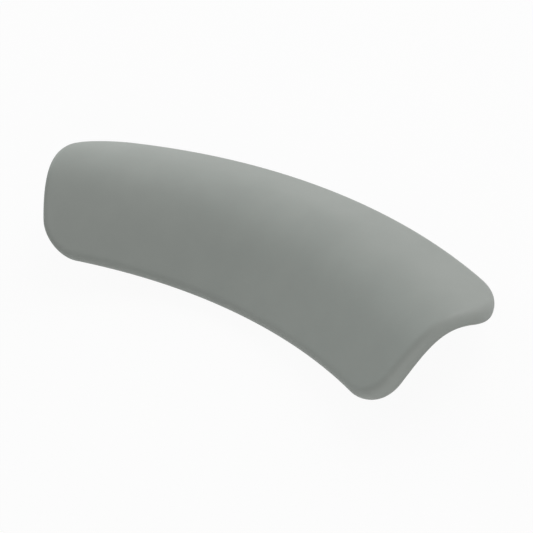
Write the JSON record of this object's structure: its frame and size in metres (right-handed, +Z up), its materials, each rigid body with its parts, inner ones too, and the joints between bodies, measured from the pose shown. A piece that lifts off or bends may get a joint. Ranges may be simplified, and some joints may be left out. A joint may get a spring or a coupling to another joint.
{
  "type": "bath pillow",
  "caption": "Curved moulded bath pillow with a soft rolled edge that hangs over the rim at the head end of a bath, held by suction cups on its underside.",
  "frame": {"origin": "under the middle of the pillow's box, on the surface that it lies on", "axes": "+X along the pillow, +Y towards the back flange, +Z up; the pillow lies on its two lips with the head side up and towards -Y"},
  "size_m": [0.4124, 0.1476, 0.063],
  "materials": {
    "head_skin": "matte polyurethane skin with a very fine grain",
    "foam": "open polyurethane foam",
    "liner_skin": "matte polyurethane skin",
    "carrier": "matte moulded polypropylene",
    "socket": "smooth moulded plastic",
    "ring": "stamped stainless spring steel",
    "cup": "soft satin PVC"
  },
  "bodies": {
    "pad": {"head_cover": "head_skin", "foam_core": "foam", "rim_liner": "liner_skin", "carrier_plate": "carrier", "cup_socket_back_left": "socket", "cup_socket_back_right": "socket", "cup_socket_front_left": "socket", "cup_socket_front_right": "socket", "lock_ring_back_left": "ring", "lock_ring_back_right": "ring", "lock_ring_front_left": "ring", "lock_ring_front_right": "ring"},
    "cup_back_left": {"suction_cup_back_left": "cup"},
    "cup_back_right": {"suction_cup_back_right": "cup"},
    "cup_front_left": {"suction_cup_front_left": "cup"},
    "cup_front_right": {"suction_cup_front_right": "cup"}
  },
  "joints": [
    {"name": "cup_back_left_swivel", "type": "hinge", "parent": "pad", "child": "cup_back_left", "pos_m": [-0.13249, 0.02017, 0.01815], "axis": [0.0346, -0.5904, -0.8064], "continuous": true},
    {"name": "cup_back_right_swivel", "type": "hinge", "parent": "pad", "child": "cup_back_right", "pos_m": [0.13249, 0.02017, 0.01815], "axis": [-0.0346, -0.5904, -0.8064], "continuous": true},
    {"name": "cup_front_left_swivel", "type": "hinge", "parent": "pad", "child": "cup_front_left", "pos_m": [-0.06178, -0.00902, 0.01005], "axis": [-0.1254, 0.416, -0.9007], "continuous": true},
    {"name": "cup_front_right_swivel", "type": "hinge", "parent": "pad", "child": "cup_front_right", "pos_m": [0.06178, -0.00902, 0.01005], "axis": [0.1254, 0.416, -0.9007], "continuous": true}
  ]
}
